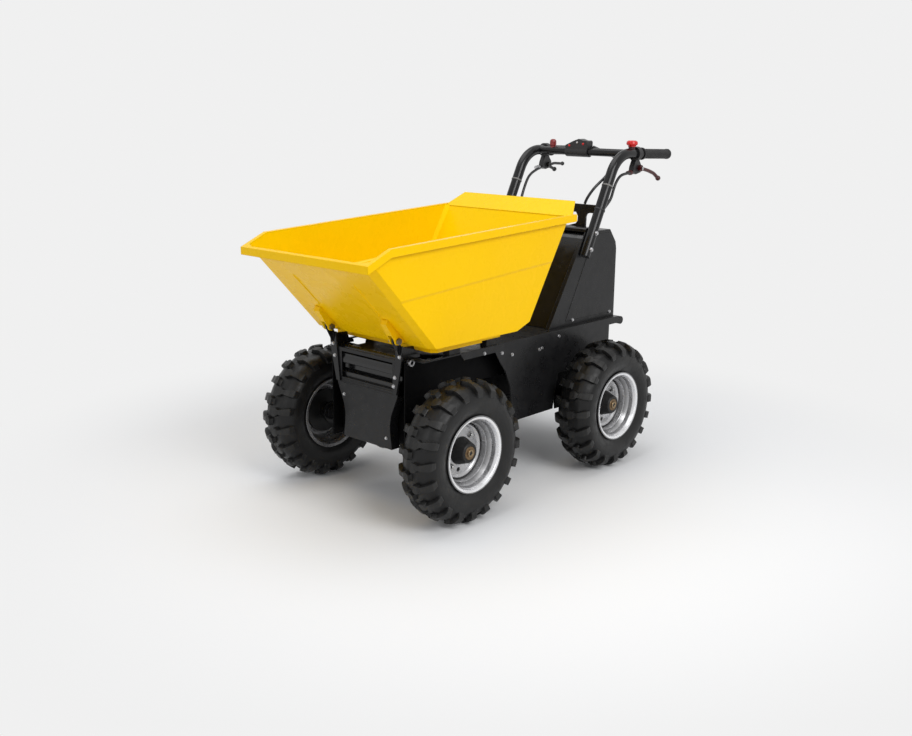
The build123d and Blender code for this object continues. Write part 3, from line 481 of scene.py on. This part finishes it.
# ---- tyres
wheelNames = ("front_left", "front_right", "rear_left", "rear_right")
tyreSpec = {
    "lugsPerSide": 20, "tipRadius": 0.200, "lugHeight": 0.0120, "halfWidth": 0.0600, "sideSteps": 78,
    # outline of the carcass as offset from the wheel's plane and radius, crown to bead
    "outline": [(0.0, 0.1880), (0.0200, 0.1868), (0.0330, 0.1832), (0.0420, 0.1778), (0.0492, 0.1712),
                (0.0552, 0.1636), (0.0588, 0.1550), (0.0600, 0.1450), (0.0590, 0.1330), (0.0562, 0.1225),
                (0.0525, 0.1150), (0.0497, 0.1095), (0.0472, 0.1015), (0.0410, 0.0972), (0.0320, 0.0958)],
    "inner": [(0.0380, 0.1080), (0.0520, 0.1420), (0.0440, 0.1700), (0.0260, 0.1810), (0.0, 0.1830)],
    # half length of a lug round the tyre and its height, by distance out from the crown along the surface
    "lugOut": [0.0, 0.0015, 0.0032, 0.0075, 0.0140, 0.0200, 0.0240, 0.0275, 0.0330, 0.0450, 0.0570, 0.0660, 0.0705],
    "lugHalf": [0.0075, 0.0075, 0.0085, 0.0130, 0.0145, 0.0125, 0.0082, 0.0075, 0.0092, 0.0118, 0.0132, 0.0120,
                0.0100],
    "lugRise": [0.0, 0.0, 1.0, 1.0, 1.0, 1.0, 0.93, 0.90, 0.95, 1.0, 0.95, 0.62, 0.0],
    "slant": 0.17, "draft": 0.0022, "gapSteps": 5, "topSteps": 8,
    # distances out from the crown: grid lines follow the lugs from followFrom until followEnd, fading over
    # followFade; the sidewall's plain tone, its level of painted shade, sets in at plainFrom over plainFade
    "followFrom": 0.0030, "followEnd": 0.0720, "followFade": 0.030, "plainFrom": 0.066, "plainFade": 0.012,
    "plainTone": 0.62, "smoothings": 3,
}


def roundPositions(spec, half):
    # one pitch of points round the tyre for each row: gap, rising side, lug top, falling side, gap.
    # the sides follow the lug's half length, so its edges stay crisp; returns positions and 0..1 heights, which also
    # set the painted shade
    pitch = 2 * math.pi * spec["tipRadius"] / spec["lugsPerSide"]
    edge = spec["draft"] / 2
    one = np.ones_like(half)
    stops = [-pitch / 2 * one, -half - edge, -half + edge, half - edge, half + edge, pitch / 2 * one]
    counts = [spec["gapSteps"], 1, spec["topSteps"], 1, spec["gapSteps"]]
    levels = [0, 0, 1, 1, 0, 0]
    places, heights = [], []
    for start, end, low, high, count in zip(stops, stops[1:], levels, levels[1:], counts):
        share = np.arange(count) / count
        places.append(start[:, None] + (end - start)[:, None] * share)
        heights.append(np.broadcast_to(low + (high - low) * share, (len(half), count)))
    return np.hstack(places), np.hstack(heights), pitch


def tyreSide(spec):
    # half a tyre from crown to bead and back up its inner wall, as (offset, radius, shade level, angle) grids:
    # points sit on the outline, pushed out along its normal by lug height, and lean round the tyre by slant x
    # distance; the shade level is 0 for painted shade in the gaps and 1 on lug tops
    outline = np.array(spec["outline"])
    length = np.concatenate([[0], np.cumsum(np.hypot(*np.diff(outline, axis=0).T))])
    out = np.linspace(0, length[-1], spec["sideSteps"] + 1)
    section = np.stack([np.interp(out, length, outline[:, axis]) for axis in (0, 1)], -1)
    mirroredCrown = section[1] * (-1, 1)
    for _ in range(spec["smoothings"]):
        before = np.vstack([mirroredCrown, section[:-2]])
        section[:-1] = 0.5 * section[:-1] + 0.25 * (before + section[1:])
        mirroredCrown = section[1] * (-1, 1)
    tangent = np.gradient(section, axis=0)
    normal = np.stack([-tangent[:, 1], tangent[:, 0]], -1) / np.hypot(*tangent.T)[:, None]
    normal[0] = (0, 1)
    half = np.interp(out, spec["lugOut"], spec["lugHalf"])
    rise = np.interp(out, spec["lugOut"], spec["lugRise"], right=0) * spec["lugHeight"]
    place, top, pitch = roundPositions(spec, half)
    count = place.shape[1]
    even = (np.arange(count) / count - 0.5) * pitch
    fading = smoothStep((out - spec["followEnd"]) / spec["followFade"])
    follow = (smoothStep(out / spec["followFrom"]) * (1 - fading))[:, None]
    place = even + (place - even) * follow + spec["slant"] * out[:, None] * follow
    height = top * rise[:, None]
    offset = np.clip(section[:, :1] + normal[:, :1] * height, 0, spec["halfWidth"])
    radius = section[:, 1:] + normal[:, 1:] * height
    # painted shade level: 0 down in the gaps, rising up the lug walls to 1 on lug tops, and the plain tone on the
    # sidewall
    plain = spec["plainTone"] * smoothStep((out - spec["plainFrom"]) / spec["plainFade"])
    shadeAndWearLevel = np.maximum(top * (rise[:, None] > 0), plain[:, None])
    inner = np.array(spec["inner"])[:, :, None] * np.ones(count)
    offset = np.vstack([offset, inner[:, 0]])
    radius = np.vstack([radius, inner[:, 1]])
    place = np.vstack([place, np.tile(even, (len(inner), 1))])
    shadeAndWearLevel = np.vstack([shadeAndWearLevel, np.zeros((len(inner), count))])
    turns = np.arange(spec["lugsPerSide"]) * pitch
    angle = (place[:, None, :] + turns[None, :, None]) / spec["tipRadius"]
    repeat = (1, spec["lugsPerSide"])
    grids = [np.tile(part, repeat) for part in (offset, radius, shadeAndWearLevel)]
    return (*grids, angle.reshape(len(place), -1), pitch)


def tyre(name, spec):
    # the second side is the first one mirrored and turned half a pitch, so the lugs alternate; the mirror for
    # the machine's right side turns the faces round, which the reversed corners put right
    offset, radius, shadeAndWearLevel, angle, pitch = tyreSide(spec)
    low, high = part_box("tyre_" + name)
    centre = (np.array(low) + np.array(high)) / 2
    side = 1 if centre[0] > 0 else -1
    rows, columns = offset.shape
    shift = columns // spec["lugsPerSide"] // 2
    halfTurn = 0.5 * pitch / spec["tipRadius"]
    grids = (offset, radius, shadeAndWearLevel, angle)
    others = [np.roll(part, shift, axis=1)[1:-1][::-1] for part in (-offset, radius, shadeAndWearLevel, angle + halfTurn)]
    offset, radius, shadeAndWearLevel, angle = [np.vstack(pair) for pair in zip(grids, others)]
    points = np.stack([side * offset, radius * np.sin(angle), radius * np.cos(angle)], -1).reshape(-1, 3) + centre
    faces = gridFaces(len(offset), columns)
    if side < 0:
        faces = faces[:, ::-1]
    piece = addMesh("tread_tyre_" + name, points, faces, "wheel_" + name, "tyre", sharp=32)
    piece.data.attributes.new("shadeAndWear", "FLOAT", "POINT").data.foreach_set("value", shadeAndWearLevel.ravel())
    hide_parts("tyre_" + name)


for name in wheelNames:
    tyre(name, tyreSpec)
print("tyres made")

# ---- wheel nuts and the washer on each axle end
wheelTrimSpec = {
    "studCircle": 0.0525, "studTurns": (45, 135, 225, 315), "discFace": -0.0020, "recess": 0.0315,
    "nut": [(0.0092, 0.0, 0), (0.0092, 0.0012, 0), (0.0082, 0.0012, 1), (0.0082, 0.0050, 1), (0.0072, 0.0062, 0),
            (0.0050, 0.0062, 0), (0.0048, 0.0094, 0), (0.0040, 0.0100, 0)],
    "washer": [(0.0186, 0.0, 0), (0.0186, 0.0016, 0), (0.0178, 0.0026, 0), (0.0120, 0.0026, 0)],
    "bolt": [(0.0106, 0.0024, 0), (0.0106, 0.0052, 0), (0.0098, 0.0062, 0), (0.0064, 0.0062, 0), (0.0048, 0.0040, 0),
             (0.0026, 0.0040, 0)],
}
wheelFinishes = {
    "nut": bareMetal("wheelNutSteel", (0.42, 0.42, 0.42), (0.22, 0.36), 1.0, (0.12, 0.10, 0.08), 0.35),
    "washer": bareMetal("axleWasherBronze", (0.16, 0.105, 0.055), (0.32, 0.5), 0.8, (0.07, 0.035, 0.018), 0.6),
    "bolt": bareMetal("axleBoltBrass", (0.27, 0.20, 0.12), (0.26, 0.4), 0.9, (0.08, 0.05, 0.03), 0.4),
}


def wheelTrim(name, spec):
    low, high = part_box("tyre_" + name)
    centre = (np.array(low) + np.array(high)) / 2
    side = 1 if centre[0] > 0 else -1
    way = (side, 0, 0)
    nuts = []
    reach = spec["studCircle"]
    for turn in np.radians(spec["studTurns"]):
        at = centre + (side * spec["discFace"], reach * math.cos(turn), reach * math.sin(turn))
        nuts.append(turned(spec["nut"], at, way, 36))
    body = "wheel_" + name
    addMesh("wheel_nuts_" + name, *joined(nuts), body, "zinc_steel", wheelFinishes["nut"])
    hubEnd = centre + (side * spec["recess"], 0, 0)
    for part in ("washer", "bolt"):
        points, faces = turned(spec[part], hubEnd, way, 48)
        addMesh("axle_%s_%s" % (part, name), points, faces, body, "zinc_steel", wheelFinishes[part])


for name in wheelNames:
    wheelTrim(name, wheelTrimSpec)
print("wheel nuts made")

# ---- the straight run of a handle tube, in its own plane x
handleRun = {"x": 0.1845, "foot": (0.262, 0.650), "slope": math.radians(63.4)}


def onHandle(height):
    # y of the tube's axis at a height: the foot's y + (height - the foot's z) / tan(slope)
    return handleRun["foot"][0] + (height - handleRun["foot"][1]) / math.tan(handleRun["slope"])


# ---- bolts on the chassis, the housing and the handle feet: a plane and the spots in it
boltSpec = {
    "profile": [(0.0066, 0.0, 0), (0.0066, 0.0010, 0), (0.0056, 0.0010, 1), (0.0056, 0.0038, 1), (0.0048, 0.0046, 0),
                (0.0020, 0.0046, 0)],
    "front": {"y": -0.495, "spots": [(0.138, 0.448), (0.1195, 0.3875), (0.1145, 0.3625), (-0.1335, 0.444),
                                     (-0.127, 0.410)], "scale": 0.85},
    "plate": {"y": -0.490, "spots": [(0.078, 0.206), (-0.095, 0.300)], "scale": 0.75},
    "skirt": {"x": 0.190, "spots": [(-0.210, 0.4195), (-0.133, 0.408), (-0.087, 0.396), (0.0415, 0.3905),
                                    (0.054, 0.3925), (0.137, 0.417)], "scale": 0.8},
    "housing": {"x": 0.1696, "spots": [(0.230, 0.452), (0.430, 0.452)], "scale": 0.8},
    "tube": {"x": 0.2002, "spots": [(onHandle(height), height) for height in (0.672, 0.721)], "scale": 1.1},
}


def chassisBolts(spec):
    # one turned bolt a spot, facing forwards on a y plane, or out to both sides on an x plane
    parts = []
    for group in ("front", "plate", "skirt", "housing", "tube"):
        scale = spec[group]["scale"]
        profile = [(scale * radius, scale * height, flat) for radius, height, flat in spec["profile"]]
        for first, z in spec[group]["spots"]:
            if "y" in spec[group]:
                parts.append(turned(profile, (first, spec[group]["y"], z), (0, -1, 0)))
            else:
                parts += [turned(profile, (side * spec[group]["x"], first, z), (side, 0, 0)) for side in (-1, 1)]
    addMesh("chassis_bolts", *joined(parts), "chassis", "zinc_steel")


chassisBolts(boltSpec)
print("bolts made")

# ---- two pressed ridges across the front plate, below its window
ridgeSpec = {"y": -0.4900, "half": 0.1080, "heights": (0.3440, 0.3360), "rise": 0.0016, "spread": 0.0022,
             "sinkFrom": 0.94, "sinkOver": 0.06}


def plateRidges(spec):
    # a half-round section, spread x cos by rise x sin, carried across and sinking at both ends
    t = np.linspace(-1, 1, 41)
    turn = np.linspace(0, math.pi, 9)
    section = np.column_stack([spec["spread"] * np.cos(turn), spec["rise"] * np.sin(turn)])
    sink = spec["rise"] * smoothStep((np.abs(t) - spec["sinkFrom"]) / spec["sinkOver"])
    parts = []
    for height in spec["heights"]:
        path = np.column_stack([spec["half"] * t, spec["y"] + sink, np.full(len(t), height)])
        parts.append(carried(path, section, (0, -1, 0)))
    addMesh("plate_ridges", *joined(parts), "chassis", "dark_paint", sharp=60)


plateRidges(ridgeSpec)

# ---- handle grips: a sleeve with a flange, fine ribs along its length and a rounded end
gripSpec = {
    "start": (0.1845, 0.546, 0.95692), "fall": 0.032, "length": 0.1642, "flange": 0.0198, "core": 0.0150,
    "ribs": 22, "ribHeight": 0.0009, "endRadius": 0.0168, "steps": 200,
    # shares of the length, each as (from, over)
    "flangeRise": (0.0, 0.006), "flangeFall": (0.045, 0.018), "swell": (0.92, 0.015), "round": (0.97, 0.03),
    "roundness": 0.75,
}


def grip(name, spec):
    # radius along the grip = core + rib x positive part of a sine, blended into the flange at the front and a
    # plain swell at the rear, which closes as the root of 1 - roundness x distance squared
    side = 1 if name == "left" else -1
    way = np.array((0, 1, -spec["fall"]))
    along = np.linspace(0, 1, spec["steps"])
    rise, fall, swell = [smoothStep((along - spec[key][0]) / spec[key][1])
                         for key in ("flangeRise", "flangeFall", "swell")]
    end = np.clip((along - spec["round"][0]) / spec["round"][1], 0, 1)
    radius = spec["core"] + spec["ribHeight"] * np.clip(np.sin(2 * math.pi * spec["ribs"] * along), 0, 1)
    radius = radius + (spec["flange"] - radius) * rise * (1 - fall)
    radius = radius + (spec["endRadius"] - radius) * swell
    radius = radius * np.sqrt(np.clip(1 - spec["roundness"] * end ** 2, 0, 1))
    rows = np.column_stack([radius, along * spec["length"], 0 * along])
    place = (side * spec["start"][0], *spec["start"][1:])
    piece = addMesh("ribbed_grip_" + name, *turned(rows, place, way, 48), "chassis", "grip_rubber", sharp=50)
    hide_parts("grip_" + name)


for name in ("left", "right"):
    grip(name, gripSpec)

# ---- cables held along the handles, on the same routes as their solids
cableSpec = {
    "radius": 0.0045, "roundSteps": 4, "pointSteps": 10,
    "routes": {
        "brake_cable_left": [
            (0.1900, 0.4948, 0.8990), (0.1900, 0.4660, 0.8980), (0.1900, 0.4300, 0.8930), (0.1910, 0.4050, 0.8720),
            (0.1900, 0.3930, 0.8450), (0.1880, 0.3870, 0.8230), (0.1840, 0.3750, 0.8060), (0.1740, 0.3580, 0.7820),
            (0.1600, 0.3490, 0.7570), (0.1530, 0.3465, 0.7360), (0.1520, 0.3460, 0.7232)],
        "brake_cable_right": [
            (-0.1845, 0.4948, 0.8990), (-0.1800, 0.4550, 0.8890), (-0.1700, 0.4170, 0.8760),
            (-0.1630, 0.3940, 0.8580), (-0.1610, 0.3790, 0.8340), (-0.1600, 0.3660, 0.8060),
            (-0.1580, 0.3560, 0.7760), (-0.1520, 0.3480, 0.7500), (-0.1510, 0.3470, 0.7360),
            (-0.1510, 0.3470, 0.7221)],
        "console_cable": [
            (0.0330, 0.4970, 0.9750), (0.0700, 0.5000, 0.9620), (0.1050, 0.4990, 0.9500), (0.1340, 0.4890, 0.9405),
            (0.1530, 0.4670, 0.9340), (0.1615, 0.4370, 0.9250), (0.1630, 0.4100, 0.9080), (0.1630, 0.3870, 0.8880),
            (0.1600, 0.3630, 0.8730), (0.1540, 0.3440, 0.8570), (0.1440, 0.3330, 0.8370), (0.1330, 0.3300, 0.8180),
            (0.1280, 0.3310, 0.8062)],
    },
}


def cable(name, spec):
    # a round curve of the third order that starts and ends on its route's own ends
    data = bpy.data.curves.new("run_" + name, "CURVE")
    data.dimensions = "3D"
    data.bevel_depth = spec["radius"]
    data.bevel_resolution = spec["roundSteps"]
    data.use_fill_caps = True
    spline = data.splines.new("NURBS")
    route = np.array(spec["routes"][name])
    spline.points.add(len(route) - 1)
    spline.points.foreach_set("co", np.column_stack([route, np.ones(len(route))]).ravel())
    spline.order_u = 3
    spline.use_endpoint_u = True
    spline.resolution_u = spec["pointSteps"]
    data.materials.append(finishes["cable_jacket"])
    run = bpy.data.objects.new("run_" + name, data)
    scene.collection.objects.link(run)
    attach(run, "chassis")
    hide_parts(name)


for name in cableSpec["routes"]:
    cable(name, cableSpec)

# ---- knurled adjusters where the brake cables enter the perches
adjusterSpec = {"place": (0.1875, 0.4960, 0.8990), "way": (0, -1, 0), "knurls": 16, "knurlDepth": 0.05,
                "profile": [(0.0050, 0.0, 0), (0.0072, 0.0010, 0), (0.0076, 0.0030, 0), (0.0076, 0.0130, 0),
                            (0.0066, 0.0150, 0), (0.0060, 0.0152, 0), (0.0058, 0.0230, 0), (0.0050, 0.0262, 0)]}


def cableAdjuster(side, name, material, spec):
    # the profile turned about its axis, with a cosine knurl round it
    x, y, z = spec["place"]
    points, faces = turned(spec["profile"], (side * x, y, z), spec["way"], 64, spec["knurls"], spec["knurlDepth"])
    addMesh("cable_adjuster_" + name, points, faces, "chassis", "zinc_steel", material)


cableAdjuster(1, "left", finishes["lever_red"], adjusterSpec)
cableAdjuster(-1, "right", finishes["zinc_steel"], adjusterSpec)

# ---- ties round the handle tubes; the upper pair is pale nylon
tieSpec = {"tube": 0.0166, "thick": 0.0012, "half": 0.0024, "bevel": 0.0003, "heights": (0.790, 0.862)}
tieNylon = mouldedPlastic("tieNylon", (0.15, 0.147, 0.14), (0.4, 0.55))


def cableTies(spec):
    # flat bands with broken corners, turned about the handle tube's sloping axis
    slope = handleRun["slope"]
    way = np.array((0, math.cos(slope), math.sin(slope)))
    inner, outer, half = spec["tube"], spec["tube"] + spec["thick"], spec["half"]
    corner = outer - spec["bevel"]
    band = [(inner, -half, 0), (corner, -half, 0), (outer, -0.6 * half, 0), (outer, 0.6 * half, 0),
            (corner, half, 0), (inner, half, 0)]
    for number, height in enumerate(spec["heights"]):
        places = [(side * handleRun["x"], onHandle(height), height) for side in (-1, 1)]
        parts = [turned(band, place, way, 40) for place in places]
        material = tieNylon if number else None
        addMesh("cable_ties_%d" % (number + 1), *joined(parts), "chassis", "cable_jacket", material)


cableTies(tieSpec)

# ---- small buttons on the console's front face
buttonSpec = {
    "dome": [(0.0040, -0.0030, 0), (0.0040, 0.0006, 0), (0.0035, 0.0020, 0), (0.0021, 0.0029, 0),
             (0.0008, 0.0032, 0)],
    "y": 0.4655,
    "spots": {"start_key": (-0.042, 0.9780, "button_red"), "lamp": (-0.010, 0.9880, "zinc_steel"),
              "mode_key": (0.014, 0.9840, "button_red")},
}


def consoleButtons(spec):
    for name, (x, z, slot) in spec["spots"].items():
        addMesh("console_" + name, *turned(spec["dome"], (x, spec["y"], z), (0, -1, 0)), "chassis", slot)


consoleButtons(buttonSpec)

# ---- a screw at each lever's pivot, its slot sunk in the head
screwSpec = {
    "head": [(0.0052, -0.0010, 0), (0.0052, -0.0002, 0), (0.0046, 0.0, 0), (0.0022, 0.0, 1), (0.0020, -0.0016, 1)],
    "places": {"left": (0.2080, 0.530, 0.912), "right": (-0.2075, 0.528, 0.904)},
}


def leverScrews(spec):
    for name, place in spec["places"].items():
        side = 1 if place[0] > 0 else -1
        addMesh("lever_screw_" + name, *turned(spec["head"], place, (side, 0, 0)), "chassis", "zinc_steel")


leverScrews(screwSpec)
print("controls made")

# ---- floor, lights and background
stageSpec = {"grey": 0.872, "radius": 14.0, "fadeFrom": 0.85, "fadeTo": 1.7, "floor": (0.850, 0.8575, 0.869),
             "skyStrength": 0.50, "lampsAim": (0, -0.05, 0.45)}


def backgroundRay(tree):
    # 1 for rays that see the background, 0 for those that only carry its light
    path = put(tree, "LightPath").outputs
    seen = put(tree, "Math", {0: path["Is Camera Ray"], 1: path["Is Glossy Ray"]}, operation="MAXIMUM").outputs[0]
    return put(tree, "Math", {0: seen, 1: path["Is Transmission Ray"]}, operation="MAXIMUM").outputs[0]


def floorMaterial(spec):
    # a lit floor near the object that turns into the plain background further out
    material, tree = newMaterial("studioFloor")
    place = put(tree, "TexCoord").outputs["Object"]
    distance = put(tree, "VectorMath", {0: place}, operation="LENGTH").outputs["Value"]
    far = multiply(tree, spread(tree, distance, spec["fadeFrom"], spec["fadeTo"]), backgroundRay(tree))
    lit = put(tree, "BsdfDiffuse", {"Color": colour(spec["floor"])}).outputs[0]
    plain = put(tree, "Emission", {"Color": colour((spec["grey"],) * 3), "Strength": 1.0}).outputs[0]
    mixed = put(tree, "MixShader", {0: far, 1: lit, 2: plain}).outputs[0]
    tree.links.new(mixed, put(tree, "OutputMaterial").inputs["Surface"])
    return material


def addFloor(spec):
    angle = np.linspace(0, 2 * math.pi, 96, endpoint=False)
    ring = np.stack([np.cos(angle), np.sin(angle), 0 * angle], -1) * spec["radius"]
    data = bpy.data.meshes.new("floor")
    data.from_pydata(ring, [], [list(range(len(ring)))])
    data.materials.append(floorMaterial(spec))
    floor = bpy.data.objects.new("floor", data)
    scene.collection.objects.link(floor)


def addWorld(spec):
    world = bpy.data.worlds.new("studio")
    scene.world = world
    world.use_nodes = True
    tree = world.node_tree
    tree.nodes.clear()
    white = colour((1.0, 1.0, 1.0))
    light = put(tree, "Background", {"Color": white, "Strength": spec["skyStrength"]}).outputs[0]
    seen = put(tree, "Background", {"Color": colour((spec["grey"],) * 3), "Strength": 1.0}).outputs[0]
    mixed = put(tree, "MixShader", {0: backgroundRay(tree), 1: light, 2: seen}).outputs[0]
    tree.links.new(mixed, put(tree, "OutputWorld").inputs["Surface"])


lamps = {
    "keyLamp": {"place": (3.4, -0.9, 3.0), "power": 86, "size": 2.2},
    "topLamp": {"place": (-0.6, -0.4, 4.2), "power": 62, "size": 3.2},
    "frontLamp": {"place": (0.4, -4.0, 2.2), "power": 14, "size": 2.0},
}


def addLamp(name, spec):
    data = bpy.data.lights.new(name, "AREA")
    data.energy = spec["power"]
    data.size = spec["size"]
    lamp = bpy.data.objects.new(name, data)
    scene.collection.objects.link(lamp)
    way = Vector(spec["place"]) - Vector(stageSpec["lampsAim"])
    lamp.matrix_world = Matrix.Translation(spec["place"]) @ way.to_track_quat("Z", "Y").to_matrix().to_4x4()


addFloor(stageSpec)
addWorld(stageSpec)
for name, spec in lamps.items():
    addLamp(name, spec)
print("studio lit")
